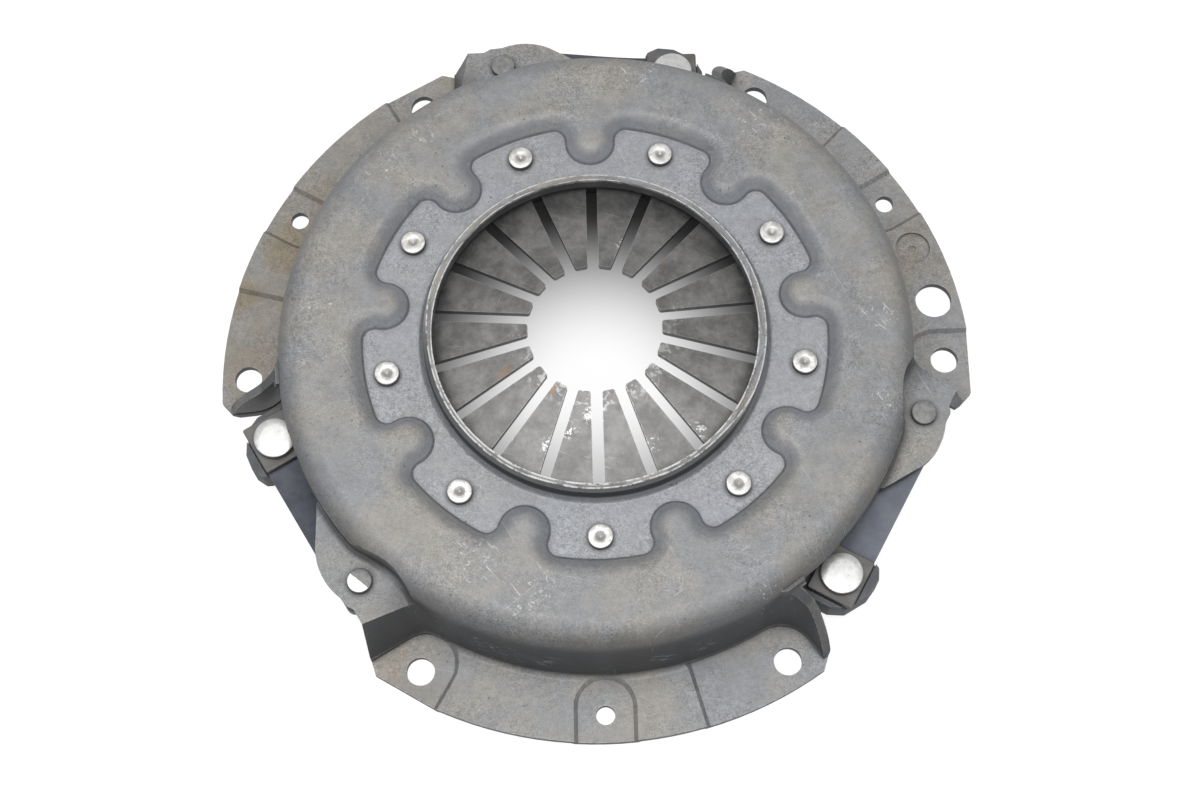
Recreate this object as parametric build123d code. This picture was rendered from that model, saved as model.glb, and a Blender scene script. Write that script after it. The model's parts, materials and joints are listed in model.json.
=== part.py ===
from build123d import *
from math import atan2, cos, degrees, hypot, radians, sin, tan
import os

os.makedirs("parts", exist_ok=True)

# A diaphragm spring clutch cover assembly. Z = 0 is the face of the cover that bolts to the
# flywheel, +Z points to the gearbox, and the bolt circle is centred on the origin.
# Sizes are in millimetres and degrees. Sector 0 has its flange centred on -90 degrees.

# Cover pressing
sectors = 3
sheet = 2.7
bolt_circle_radius = 116.5
bolt_hole_diameter = 9.0
bolt_angles = (-120.0, -60.0)
dowel_hole_diameter = 6.1
dowel_angle = -90.0
timing_hole_diameter = 12.1
timing_hole_angle = 10.5
punch_mark_diameter = 11.7
punch_mark_angle = 20.5
punch_mark_depth = 0.8
punch_dot_diameter = 2.4
punch_dot_depth = 0.4
flange_margin = 8.7
flange_radius = bolt_circle_radius + flange_margin
flange_raise = 1.2
flange_end_angle = -56.2
flange_corner_radius = flange_radius - 0.3
flange_corner_angle = -125.5
drum_radius = 102.3
drum_base_flare = 1.9
drum_top_draft = 1.4
shoulder_radius = 9.0
drum_height = 38.0
step_height = 32.0
base_bend = 2.5
ear_bend = 3.0
recess_bend = 1.0
recess_crown_bend = 6.0

# Flange pads: angles of their sides, and their widths
first_pad_side = -115.2
first_pad_half_width = 9.6
first_pad_inner_radius = 104.2
first_pad_reach = 11.0
last_pad_side = -74.8
dowel_pad_half_width = 8.75
dowel_pad_inner_radius = 105.2
pad_ramp = 1.3

# The frame of a drive strap has one axis along the strap and one outwards from the centre.
# Places in it are given as (along, outward).
strap_frame_angle = -150.0
rivet_row = 103.6
strap_span = 58.0
ear_height = 24.5
ear_start = ((-6.0, 92.0), (0.0, 103.0), (12.8, 110.6))
ear_nose = ((12.8, 110.6), (20.0, 112.7), (29.4, 111.3))
ear_end = ((29.4, 111.3), (33.4, 110.9), (35.6, 109.6), (40.9, 109.5), (46.6, 112.4))
ear_space = ((-24.0, 85.0), (-24.0, 160.0), (60.0, 160.0), (51.0, 95.0), (38.0, 94.6), (38.0, 85.0))
dent_line = ((9.0, 105.0), (19.5, 100.1), (27.0, 95.7), (34.0, 92.9), (42.0, 92.5), (50.0, 92.6))
dent_start_radius = 8.0
ear_setback = 0.3
window_edge = (-21.0, 0.0)

# Flank between the ear and the flange, and the gusset at the flange's other end
flank_ends = (93.0, 110.0)
flank_foot = 47.4
flank_top_inner = 43.3
flank_top_outer = 40.7
flank_corner_radius = 9.0
gusset_foot_angle = -55.3
gusset_lean = 1.3
gusset_width_angle = 2.6
gusset_corner_radius = 11.0
gusset_outer_radius = 122.3
gusset_mid = (113.5, 19.7)
gusset_root = (102.9, 30.0)

# Recess in the top of the cover, with its pads, lobes and upturned lip
recess_pads = 9
recess_floor = 33.5
recess_radius = 74.3
recess_wall_run = 4.0
lobe_centre_radius = 68.8
lobe_foot_radius = 8.3
pad_corner_radius = 3.7
lip_radius = 54.6
lip_height = 40.0
lip_bend_radius = 2.5
lip_joint_width = 1.0

# Diaphragm spring
fingers = 18
spring_thickness = 2.4
cone_angle = 14.3
fulcrum_radius = 73.0
fulcrum_height = 25.2
spring_outer_radius = 93.0
finger_tip_radius = 21.44
finger_tip_corner = 0.9
slot_width = 3.6
slot_window_width = 9.0
slot_window_inner = 60.5
slot_window_outer = 70.8
finger_root_radius = 71.1
finger_gap = 0.3
fulcrum_wire = 4.0
wire_gap = 0.25

# Rivets through the recess floor
spring_rivet_circle = 67.41
spring_rivet_shank = 5.0
spring_rivet_head = 8.0
spring_rivet_head_height = 2.0
dimple_diameter = 3.2
dimple_floor = 0.8
dimple_depth = 1.2
spring_rivet_tail = 12.0
spring_rivet_tail_height = 2.5

# Pressure plate casting
plate_inner_radius = 65.0
plate_outer_radius = 98.2
plate_face = 2.9
plate_body_height = 10.2
plate_rim_height = 12.0
plate_chamfer = 1.2
seat_inset = 6.9
seat_radius = plate_outer_radius - seat_inset
seat_width = 4.4
seat_crown = 1.0
seat_foot = 1.0
seat_gap = 0.3
seat_gaps = 9
seat_gap_width = 9.0

# Plate lug, clamp plate and strap pack
lug_bottom = 5.0
lug_top = 12.8
lug_outline = ((-10.6, 1.4), (-8.2, 6.4), (-1.0, 10.6), (4.5, 11.3), (8.2, 9.6), (9.6, 6.6))
lug_corner_radius = 1.5
lug_root = 8.0
lug_rim_height = 2.4
strap_seat_clearance = 0.4
leaves = 3
leaf_thickness = 0.8
leaf_width = 15.0
leaf_overhang = 7.6
leaf_corner_radius = 3.0
leaf_lug_bend = 1.0
leaf_ear_bend = 3.0
clamp_plate_length = 17.0
clamp_plate_width = 15.6
clamp_plate_thickness = 1.9
lug_rivet_head = 13.5
lug_rivet_head_height = 2.6
lug_rivet_shank = 8.0
lug_rivet_tail = 12.0
lug_rivet_tail_height = 2.6
ear_rivet_head = 8.0
ear_rivet_head_height = 1.9
ear_rivet_shank = 5.4
ear_rivet_tail_height = 1.8
shank_clearance = 0.1
edge_break = 0.4

# Reach of the shapes that cut others: outwards, upwards, and past a face
beyond = 1.36 * flange_radius
above = 1.6 * drum_height
overrun = 1.0


def polar(radius, angle):
    return (radius * cos(radians(angle)), radius * sin(radians(angle)))


def along_strap(along, outward):
    """The plan position of a place in the strap's frame."""
    out = Vector(*polar(outward, strap_frame_angle))
    side = Vector(*polar(along, strap_frame_angle + 90))
    return ((out + side).X, (out + side).Y)


def strap_line(places, inset=0.0):
    """Plan positions of several places in the strap's frame, moved towards the centre by inset."""
    return [along_strap(along, outward - inset) for along, outward in places]


def each_sector(shape, count=sectors):
    return [Rot(0, 0, 360 / count * index) * shape for index in range(count)]


def tower(face, bottom, top):
    """A flat face raised from one height to another."""
    return extrude(Pos(0, 0, bottom) * face, top - bottom)


def ring_profile(points):
    return Plane.XZ * make_face(Polyline(*points, close=True))


def radius_of(vertex):
    return hypot(vertex.X, vertex.Y)


def edges_at(shape, height, reach):
    """Level edges of a shape at a height whose middles lie within a radius."""
    return [edge for edge in shape.edges()
            if abs((edge @ 0).Z - height) < 0.001 and abs((edge @ 1).Z - height) < 0.001
            and radius_of(edge @ 0.5) < reach]


def drum(inset):
    """The round body of the cover, filled, with its outer surface moved in by inset."""
    height = drum_height - inset + overrun
    outline = Pos((drum_radius - inset) / 2, height / 2 - overrun) * Rectangle(drum_radius - inset, height)
    corner = outline.vertices().sort_by(lambda v: v.X + v.Y)[-1]
    return revolve(Plane.XZ * fillet(corner, shoulder_radius - inset), Axis.Z)


def pocket_plan(share, inset):
    """Plan of the space over the flange; share 0 is at the flange and 1 at the step's top."""
    wall = drum_radius + drum_base_flare - share * (drum_base_flare + drum_top_draft) - inset
    rise = share * (step_height - sheet) / (ear_height - sheet)
    inner = flank_foot + rise * (flank_top_inner - flank_foot) - inset
    outer = flank_foot + rise * (flank_top_outer - flank_foot) - inset
    slope = (outer - inner) / (flank_ends[1] - flank_ends[0])
    gusset = gusset_foot_angle + gusset_lean * share
    root = 0.8 * drum_radius
    side = Vector(*polar(inset, gusset + 90))
    wedge = make_face(Polyline(
        along_strap(inner + (root - flank_ends[0]) * slope, root),
        along_strap(inner + (beyond - flank_ends[0]) * slope, beyond),
        polar(beyond, -90),
        (polar(beyond, gusset)[0] + side.X, polar(beyond, gusset)[1] + side.Y),
        (polar(root, gusset)[0] + side.X, polar(root, gusset)[1] + side.Y),
        polar(0.7 * root, -90),
        close=True))
    plan = (Circle(0.9 * beyond) - Circle(wall)) & wedge
    flank_corner = plan.vertices().sort_by(radius_of)[:2].sort_by(Axis.X)[0]
    plan = fillet(flank_corner, flank_corner_radius + inset)
    on_wall = [v for v in plan.vertices() if abs(radius_of(v) - wall) < 0.01]
    gusset_corner = max(on_wall, key=lambda v: v.X)
    return fillet(gusset_corner, gusset_corner_radius + inset)


def pad_spaces(inset):
    """The space over the three pads of one flange that touch the flywheel, ramped up to the flange."""
    ramp_angle = atan2(flange_raise, pad_ramp)
    grow = inset * tan(ramp_angle / 2)
    bottom = sheet - inset
    height = flange_raise + overrun
    run = height / tan(ramp_angle)

    def u_shape(angle, half_width, inner_radius):
        half = half_width + grow
        start = inner_radius + half_width
        sides = Polyline((-half, 0), (half, 0), (half + run, height), (-half - run, height), close=True)
        straight = extrude(Plane.YZ * make_face(sides), beyond - start)
        nose = Pos(0, 0, height / 2) * Cone(half, half + run, height)
        return Rot(0, 0, angle) * Pos(start, 0, bottom) * (nose + straight)

    near = flank_foot - flank_corner_radius
    reach = flank_foot + first_pad_reach
    beside_flank = make_face(Polyline(
        along_strap(near, rivet_row), along_strap(near, beyond),
        along_strap(reach, beyond), along_strap(reach, drum_radius - overrun), close=True))
    first = u_shape(bolt_angles[0], first_pad_half_width, first_pad_inner_radius)
    first += tower(beside_flank, bottom, bottom + height)
    dowel = u_shape(dowel_angle, dowel_pad_half_width, dowel_pad_inner_radius)
    edge = Polyline((beyond / 4, 0), (-grow, 0), (-grow - run, height), (beyond / 4, height), close=True)
    side = extrude(Plane.YZ * make_face(edge), beyond)
    last = Rot(0, 0, last_pad_side) * Pos(0, 0, bottom) * side
    return [first, dowel, last]


def flange_pocket(inset):
    """The open space above one flange, between the ear flank and the gusset."""
    floor = sheet + flange_raise - inset
    low = Pos(0, 0, floor) * pocket_plan(0, inset)
    high = Pos(0, 0, step_height + overrun - inset) * pocket_plan(1, inset)
    space = loft([low.face(), high.face()], ruled=True)
    space = fillet(edges_at(space, floor, 0.85 * beyond), base_bend + inset)
    above_pads = tower(pocket_plan(0, inset), sheet - inset, floor + overrun)
    for pad in pad_spaces(inset):
        space += pad & above_pads
    return space


def flange_plan():
    """Outline of one flange and its ear, closed inside the drum."""
    corner = polar(flange_corner_radius, flange_corner_angle)
    pad_end = polar(flange_radius, first_pad_side)
    arc_end = polar(flange_radius, flange_end_angle)
    gusset_end = gusset_foot_angle + gusset_width_angle
    return make_face([
        Polyline(*strap_line(ear_start)),
        Spline(*strap_line(ear_nose)),
        Polyline(*strap_line(ear_end), corner, pad_end),
        ThreePointArc(pad_end, polar(flange_radius, dowel_angle), arc_end),
        Polyline(arc_end, polar(gusset_outer_radius, gusset_foot_angle + gusset_width_angle / 3),
                 polar(gusset_outer_radius, gusset_end), polar(0.88 * drum_radius, gusset_end),
                 along_strap(*ear_start[0])),
    ])


def ear_pocket(inset):
    """The space above one ear, beside the drum and dented into it."""
    wall = drum_radius - ear_setback - inset
    dent = Spline(*strap_line(dent_line, inset))
    rest = Polyline(dent @ 1, along_strap(*ear_space[2]), along_strap(dent_line[0][0], beyond), dent @ 0)
    beside_drum = make_face(Polyline(*strap_line(ear_space), close=True)) - Circle(wall)
    plan = beside_drum + make_face([dent, rest])
    meeting = [v for v in plan.vertices() if abs(radius_of(v) - wall) < 0.01]
    dent_start = max(meeting, key=lambda v: radius_of(v - Vector(*along_strap(*ear_space[0]))))
    plan = fillet(dent_start, dent_start_radius)
    space = tower(plan, ear_height - inset, above)
    corner = [edge for edge in edges_at(space, ear_height - inset, 1.04 * drum_radius)
              if edge.geom_type != GeomType.LINE]
    return fillet(corner, ear_bend + inset)


def ear_zone():
    """The space beside the drum that the ear and the edge above the window stand in."""
    return tower(make_face(Polyline(*strap_line(ear_space), close=True)), ear_height - sheet, above)


def recess_plan(grow):
    """Plan of the recess: a round pocket with lobes of the cover standing into it."""
    foot = lobe_foot_radius - grow
    length = recess_radius / 2
    lobe = Pos(lobe_centre_radius, 0) * Circle(foot)
    lobe += Pos(lobe_centre_radius + length / 2, 0) * Rectangle(length, 2 * foot)
    plan = Circle(recess_radius + grow)
    for index in range(recess_pads):
        plan -= Rot(0, 0, dowel_angle + 360 / recess_pads * (index + 0.5)) * lobe
    edge = [v for v in plan.vertices() if abs(radius_of(v) - recess_radius - grow) < 0.01]
    return fillet(edge, pad_corner_radius + grow)


def recess(inset):
    """The space of the recess, with its surface moved by inset."""
    depth = drum_height - recess_floor
    shift = inset * tan(atan2(depth, recess_wall_run) / 2)
    floor = recess_floor - inset
    flare = -degrees(atan2(recess_wall_run, depth))
    space = extrude(Pos(0, 0, floor) * recess_plan(shift), depth + overrun, taper=flare)
    return fillet(edges_at(space, floor, beyond), recess_bend + inset)


def lip():
    """The upturned lip round the opening for the release bearing."""
    bore = lip_radius - sheet
    bend = lip_bend_radius
    under = recess_floor - sheet
    foot = lip_radius + bend
    joint = foot + 2 * lip_joint_width
    outline = [
        Line((joint, recess_floor), (foot, recess_floor)),
        RadiusArc((foot, recess_floor), (lip_radius, recess_floor + bend), bend),
        Polyline((lip_radius, recess_floor + bend), (lip_radius, lip_height), (bore, lip_height),
                 (bore, recess_floor + bend)),
        RadiusArc((bore, recess_floor + bend), (foot, under), -bend - sheet),
        Polyline((foot, under), (joint, under), (joint, recess_floor)),
    ]
    return revolve(Plane.XZ * make_face(outline), Axis.Z)


def gusset_trim():
    """What is cut away above the curved top edge of one gusset."""
    foot = (gusset_outer_radius, sheet + shank_clearance)
    edge = ThreePointArc(foot, gusset_mid, gusset_root)
    rest = Polyline(gusset_root, (gusset_root[0], above), (beyond, above), (beyond, foot[1]), foot)
    profile = Plane.XZ * make_face([edge, rest])
    return Rot(0, 0, gusset_foot_angle + overrun) * extrude(profile, 2 * sheet, both=True)


def window_trim():
    """The slanting end of the drum's edge, from the window down to the ear."""
    under_ear = ear_height - sheet
    edge = step_height - sheet
    start, end = window_edge
    profile = make_face(Polyline((1.4 * start, under_ear - sheet), (1.4 * start, edge), (start, edge),
                                 (end, under_ear), (end, under_ear - sheet), close=True))
    block = extrude(Plane.XZ * profile, -0.3 * drum_radius)
    return Rot(0, 0, strap_frame_angle - 90) * (Pos(0, 0.88 * drum_radius, 0) * mirror(block, Plane.YZ))


def upright_hole(diameter, radius, angle, bottom=-overrun, top=above):
    x, y = polar(radius, angle)
    return Pos(x, y, (bottom + top) / 2) * Cylinder(diameter / 2, top - bottom)


def shank_hole(shank):
    return Cylinder(shank / 2 + shank_clearance, 2 * above)


def rivet_point(index, along):
    x, y = along_strap(along, rivet_row)
    return Rot(0, 0, 360 / sectors * index) * Pos(x, y, 0)


def build_cover():
    """The pressing: its outer form less the same form moved in by the sheet's thickness."""
    outside = drum(0)
    for block in each_sector(tower(flange_plan(), 0, step_height) - flange_pocket(0) - gusset_trim()):
        outside += block
    outside -= Pos(0, 0, -overrun) * Cylinder(beyond, 2 * overrun)
    inside_ring = tower(Circle(0.88 * beyond) - Circle(0.88 * drum_radius), -overrun, step_height - sheet)
    for pocket in each_sector(flange_pocket(sheet)) + each_sector(ear_zone()):
        inside_ring -= pocket
    inside = drum(sheet) + inside_ring
    for pocket in each_sector(ear_pocket(0)):
        outside -= pocket
    for pocket in each_sector(ear_pocket(sheet)):
        inside -= pocket
    outside -= recess(0)
    inside -= recess(sheet)
    crown_reach = drum_radius - shoulder_radius - overrun
    outside = fillet(edges_at(outside, drum_height, crown_reach), recess_crown_bend)
    inside = fillet(edges_at(inside, drum_height - sheet, crown_reach), recess_crown_bend - sheet)
    shell = outside - inside
    for trim in each_sector(window_trim()):
        shell -= trim
    opening = lip_radius + lip_bend_radius + lip_joint_width
    return shell - tower(Circle(opening), recess_floor - above / 2, above) + lip()


def drilled(shape):
    """The cover with its bolt, dowel, rivet and marking holes."""
    for index in range(sectors):
        turn = Rot(0, 0, 360 / sectors * index)
        for angle in bolt_angles:
            shape -= turn * upright_hole(bolt_hole_diameter, bolt_circle_radius, angle, top=ear_height)
        shape -= turn * upright_hole(dowel_hole_diameter, bolt_circle_radius, dowel_angle, top=ear_height)
        shape -= rivet_point(index, strap_span / 2) * shank_hole(ear_rivet_shank)
    for index in range(recess_pads):
        angle = dowel_angle + 360 / recess_pads * index
        shape -= upright_hole(spring_rivet_shank + 2 * shank_clearance, spring_rivet_circle, angle)
    shape -= upright_hole(timing_hole_diameter, bolt_circle_radius, timing_hole_angle, top=ear_height)
    mark_floor = sheet + flange_raise - punch_mark_depth
    shape -= upright_hole(punch_mark_diameter, bolt_circle_radius, punch_mark_angle, mark_floor, ear_height)
    dot_floor = mark_floor - punch_dot_depth
    shape -= upright_hole(punch_dot_diameter, bolt_circle_radius, punch_mark_angle, dot_floor, ear_height)
    return shape


def beside_spring(radius, distance):
    """A point off the middle of the spring, square to its slope, as radius and height."""
    slope = radians(cone_angle)
    middle = fulcrum_height - (radius - fulcrum_radius) * tan(slope)
    return (radius + distance * sin(slope), middle + distance * cos(slope))


def spring_ring(inner, outer):
    half = spring_thickness / 2
    return revolve(ring_profile([
        beside_spring(inner, half), beside_spring(outer, half),
        beside_spring(outer, -half), beside_spring(inner, -half)]), Axis.Z)


def build_spring_band():
    """The outer conical ring of the diaphragm spring, which presses on the plate's seat."""
    return spring_ring(finger_root_radius + finger_gap, spring_outer_radius)


def slot_plan():
    """Plan of one slot between two fingers, with the wide window at its root."""
    middle = (slot_window_inner + slot_window_outer) / 2
    window_length = slot_window_outer - slot_window_inner
    window = Pos(middle, 0) * RectangleRounded(window_length, slot_window_width, slot_width / 1.5)
    slot = Pos(middle / 2, 0) * Rectangle(middle, slot_width)
    split = Pos(middle + window_length, 0) * Rectangle(2 * window_length, finger_gap)
    return slot + window + split


def build_finger():
    """One finger of the diaphragm spring, pointing along +X."""
    half_pitch = 180 / fingers
    reach = 1.15 * finger_root_radius
    plan = make_face(Polyline((0, 0), polar(reach, -half_pitch), polar(reach, half_pitch), close=True))
    for side in (-half_pitch, half_pitch):
        plan -= Rot(0, 0, side) * slot_plan()
    plan -= Circle(finger_tip_radius)
    tip = [v for v in plan.vertices() if abs(radius_of(v) - finger_tip_radius) < 0.01]
    plan = fillet(tip, finger_tip_corner)
    return spring_ring(0.9 * finger_tip_radius, finger_root_radius) & tower(plan, 0, above)


def fulcrum_ring(side):
    """A wire ring that the spring tilts on: side is 1 above the spring and -1 below it."""
    radius, height = beside_spring(fulcrum_radius, side * (spring_thickness + fulcrum_wire) / 2 + side * wire_gap)
    return revolve(Plane.XZ * (Pos(radius, height) * Circle(fulcrum_wire / 2)), Axis.Z)


def stepped_rivet(head, head_height, seat, shank, foot, tail, tail_height):
    """A set rivet: its head on the seat, and its tail below the foot."""
    body = tower(Circle(shank / 2), foot, seat)
    top = tower(Circle(head / 2), seat, seat + head_height)
    top = fillet(top.edges().sort_by(Axis.Z)[-1], edge_break)
    bottom = tower(Circle(tail / 2), foot - tail_height, foot)
    bottom = fillet(bottom.edges().sort_by(Axis.Z)[0], 2 * edge_break)
    return body + top + bottom


def build_spring_rivet():
    below_spring = (spring_thickness + fulcrum_wire) / 2 + wire_gap
    foot = beside_spring(fulcrum_radius, -below_spring)[1] - fulcrum_wire / 2 - wire_gap
    rivet = stepped_rivet(spring_rivet_head, spring_rivet_head_height, recess_floor, spring_rivet_shank,
                          foot, spring_rivet_tail, spring_rivet_tail_height)
    dimple = Cone(dimple_floor / 2, dimple_diameter / 2, dimple_depth,
                  align=(Align.CENTER, Align.CENTER, Align.MAX))
    return rivet - Pos(0, 0, recess_floor + spring_rivet_head_height) * dimple


def in_strap_frame(shape, along, height=0):
    """A shape drawn with X along the strap and Y outwards, put at a place on the rivet row."""
    x, y = along_strap(along, rivet_row)
    return Pos(x, y, height) * Rot(0, 0, strap_frame_angle + 90) * mirror(shape, Plane.XZ)


def build_lug():
    """One lug of the plate, centred on its rivet, with a raised rim round the end of the strap."""
    inwards = plate_outer_radius - rivet_row - lug_root
    plan = make_face(Polyline((lug_outline[0][0], inwards), *lug_outline,
                              (lug_outline[-1][0], inwards), close=True))
    plan = fillet([v for v in plan.vertices() if v.Y > 0], lug_corner_radius)
    seat_edge = max(clamp_plate_width, leaf_width) / 2 + strap_seat_clearance
    seat_end = -clamp_plate_length / 2 - strap_seat_clearance
    seat = Pos(seat_end + beyond / 2, seat_edge - beyond / 2) * Rectangle(beyond, beyond)
    return tower(plan, lug_bottom, lug_top + lug_rim_height) - tower(seat, lug_top, above)


def build_plate():
    """The cast pressure plate with its friction face, spring seat and three strap lugs."""
    seat_top = beside_spring(seat_radius, -spring_thickness / 2)[1] - seat_gap
    half = seat_width / 2
    corner = plate_chamfer
    body = revolve(ring_profile([
        (plate_inner_radius, plate_face + corner), (plate_inner_radius + corner, plate_face),
        (plate_outer_radius - corner, plate_face), (plate_outer_radius, plate_face + corner),
        (plate_outer_radius, plate_rim_height - corner), (plate_outer_radius - corner, plate_rim_height),
        (seat_radius - seat_width, plate_rim_height), (seat_radius - 2 * seat_width, plate_body_height),
        (plate_inner_radius + corner, plate_body_height), (plate_inner_radius, plate_body_height - corner),
    ]), Axis.Z)
    crown_foot = seat_top - seat_crown
    seat = revolve(Plane.XZ * make_face([
        Polyline((seat_radius - half, crown_foot), (seat_radius - half - seat_foot, plate_body_height),
                 (seat_radius + half + seat_foot, plate_body_height), (seat_radius + half, crown_foot)),
        ThreePointArc((seat_radius + half, crown_foot), (seat_radius, seat_top), (seat_radius - half, crown_foot)),
    ]), Axis.Z)
    notch = tower(Pos(seat_radius, 0) * Rectangle(4 * seat_width, seat_gap_width), plate_rim_height, above)
    for gap in each_sector(notch, seat_gaps):
        seat -= gap
    body += seat
    for lug in each_sector(in_strap_frame(build_lug(), -strap_span / 2)):
        body += lug
    for index in range(sectors):
        body -= rivet_point(index, -strap_span / 2) * shank_hole(lug_rivet_shank)
    return body


def leaf_level(layer):
    """Heights of the underside of one strap leaf, at the lug and at the ear."""
    return (lug_top + layer * leaf_thickness, ear_height - sheet - (leaves - layer) * leaf_thickness)


def build_leaf(layer):
    """One spring leaf of a drive strap, from the lug up to the ear."""
    low, high = leaf_level(layer)
    half = strap_span / 2
    first_bend = -half + clamp_plate_length / 2 + leaf_lug_bend
    last_bend = half - ear_rivet_head / 2 - leaf_ear_bend
    lower = [(-half - leaf_overhang, low), (first_bend, low), (last_bend, high), (half + leaf_overhang, high)]
    upper = [(along, height + leaf_thickness) for along, height in reversed(lower)]
    leaf = extrude(Plane.XZ * make_face(Polyline(*lower, *upper, close=True)), leaf_width / 2, both=True)
    outline = RectangleRounded(strap_span + 2 * leaf_overhang, leaf_width, leaf_corner_radius)
    leaf &= tower(outline, 0, above)
    leaf -= Pos(-half, 0, 0) * shank_hole(lug_rivet_shank)
    leaf -= Pos(half, 0, 0) * shank_hole(ear_rivet_shank)
    return in_strap_frame(leaf, 0)


def build_clamp_plate():
    top = lug_top + leaves * leaf_thickness
    plate = tower(Rectangle(clamp_plate_length, clamp_plate_width), top, top + clamp_plate_thickness)
    return in_strap_frame(plate - shank_hole(lug_rivet_shank), -strap_span / 2)


def save(name, shape, count=1, first=0.0):
    """Write one STEP file, or one for each copy of a repeated piece turned about the axis."""
    digits = len(str(count))
    for index in range(count):
        node = name if count == 1 else f"{name}_{index + 1:0{digits}d}"
        copy = Rot(0, 0, first + 360 / count * index) * shape
        solid = copy.solids()[0] if len(copy.solids()) == 1 else copy
        solid.label = node
        export_step(solid, f"parts/{node}.step")


save("cover", drilled(build_cover()))
save("upper_fulcrum_ring", fulcrum_ring(1))
save("lower_fulcrum_ring", fulcrum_ring(-1))
save("diaphragm_band", build_spring_band())
save("diaphragm_finger", build_finger(), fingers, dowel_angle + 180 / fingers)
spring_rivet = Pos(spring_rivet_circle, 0, 0) * build_spring_rivet()
save("diaphragm_rivet", spring_rivet, recess_pads, dowel_angle)
save("pressure_plate", build_plate())
clamp_top = lug_top + leaves * leaf_thickness + clamp_plate_thickness
lug_rivet = stepped_rivet(lug_rivet_head, lug_rivet_head_height, clamp_top, lug_rivet_shank,
                          lug_bottom, lug_rivet_tail, lug_rivet_tail_height)
save("lug_rivet", rivet_point(0, -strap_span / 2) * lug_rivet, sectors)
save("clamp_plate", build_clamp_plate(), sectors)
ear_rivet = stepped_rivet(ear_rivet_head, ear_rivet_head_height, ear_height, ear_rivet_shank,
                          leaf_level(0)[1], ear_rivet_head, ear_rivet_tail_height)
save("ear_rivet", rivet_point(0, strap_span / 2) * ear_rivet, sectors)
for layer in range(leaves):
    save(f"drive_strap_leaf_{layer + 1}_pack", build_leaf(layer), sectors)
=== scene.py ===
import bpy
import bmesh
import json
import math
from mathutils import Matrix, Vector


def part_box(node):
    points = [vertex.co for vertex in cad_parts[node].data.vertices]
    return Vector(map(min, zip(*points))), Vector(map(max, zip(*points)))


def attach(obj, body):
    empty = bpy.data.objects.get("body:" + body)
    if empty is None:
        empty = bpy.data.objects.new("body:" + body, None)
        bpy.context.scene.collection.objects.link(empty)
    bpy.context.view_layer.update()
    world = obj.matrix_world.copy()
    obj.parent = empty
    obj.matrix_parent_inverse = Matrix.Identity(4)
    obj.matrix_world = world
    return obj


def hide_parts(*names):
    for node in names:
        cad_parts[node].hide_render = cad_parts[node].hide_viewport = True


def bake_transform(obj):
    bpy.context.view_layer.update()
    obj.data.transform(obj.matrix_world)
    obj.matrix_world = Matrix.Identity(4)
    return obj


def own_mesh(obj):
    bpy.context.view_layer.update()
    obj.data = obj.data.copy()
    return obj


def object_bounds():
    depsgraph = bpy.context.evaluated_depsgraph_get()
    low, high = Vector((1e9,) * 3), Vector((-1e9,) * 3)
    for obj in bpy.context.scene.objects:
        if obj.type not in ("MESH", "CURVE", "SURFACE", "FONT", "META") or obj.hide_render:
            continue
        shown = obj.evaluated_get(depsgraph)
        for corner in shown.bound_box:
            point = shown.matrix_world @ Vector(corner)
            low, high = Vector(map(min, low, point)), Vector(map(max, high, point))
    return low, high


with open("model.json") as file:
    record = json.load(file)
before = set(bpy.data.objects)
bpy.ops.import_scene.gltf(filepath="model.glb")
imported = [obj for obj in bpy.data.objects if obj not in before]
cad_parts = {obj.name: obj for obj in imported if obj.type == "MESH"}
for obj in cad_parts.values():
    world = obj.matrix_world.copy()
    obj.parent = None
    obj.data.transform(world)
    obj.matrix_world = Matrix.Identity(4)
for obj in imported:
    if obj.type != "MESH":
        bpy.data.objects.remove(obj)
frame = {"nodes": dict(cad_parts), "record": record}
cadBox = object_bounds()
mm = 0.001
print("frame loaded:", len(frame["nodes"]), "nodes")


def operator(operation, turned=False):
    # a method for Wire that becomes a Math node; turned when the wire stands on the right
    def method(wire, other):
        pair = (other, wire) if turned else (wire, other)
        return wire.nodes.node("ShaderNodeMath", dict(operation=operation), dict(enumerate(pair)))
    return method


# shader writing: a socket that takes part in Python sums
class Wire:
    def __init__(self, nodes, socket):
        self.nodes, self.socket = nodes, socket

    __add__, __radd__ = operator("ADD"), operator("ADD", True)
    __sub__, __rsub__ = operator("SUBTRACT"), operator("SUBTRACT", True)
    __mul__, __rmul__ = operator("MULTIPLY"), operator("MULTIPLY", True)
    __truediv__, __pow__, __lt__ = operator("DIVIDE"), operator("POWER"), operator("LESS_THAN")


class Nodes:
    def __init__(self, tree):
        self.tree = tree

    def feed(self, socket, value):
        if isinstance(value, Wire):
            self.tree.links.new(value.socket, socket)
        elif hasattr(socket.default_value, "__len__") and len(socket.default_value) == 4:
            socket.default_value = (*value, 1.0)
        else:
            socket.default_value = value

    def node(self, kind, settings=None, inputs=None, out=0):
        made = self.tree.nodes.new(kind)
        for key, value in (settings or {}).items():
            setattr(made, key, value)
        for key, value in (inputs or {}).items():
            self.feed(made.inputs[key], value)
        return Wire(self, made.outputs[out])

    def ray(self, kind):
        # 1 for light of one kind, such as Camera or Glossy, and 0 for other light
        return self.node("ShaderNodeLightPath", out=f"Is {kind} Ray")


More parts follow.
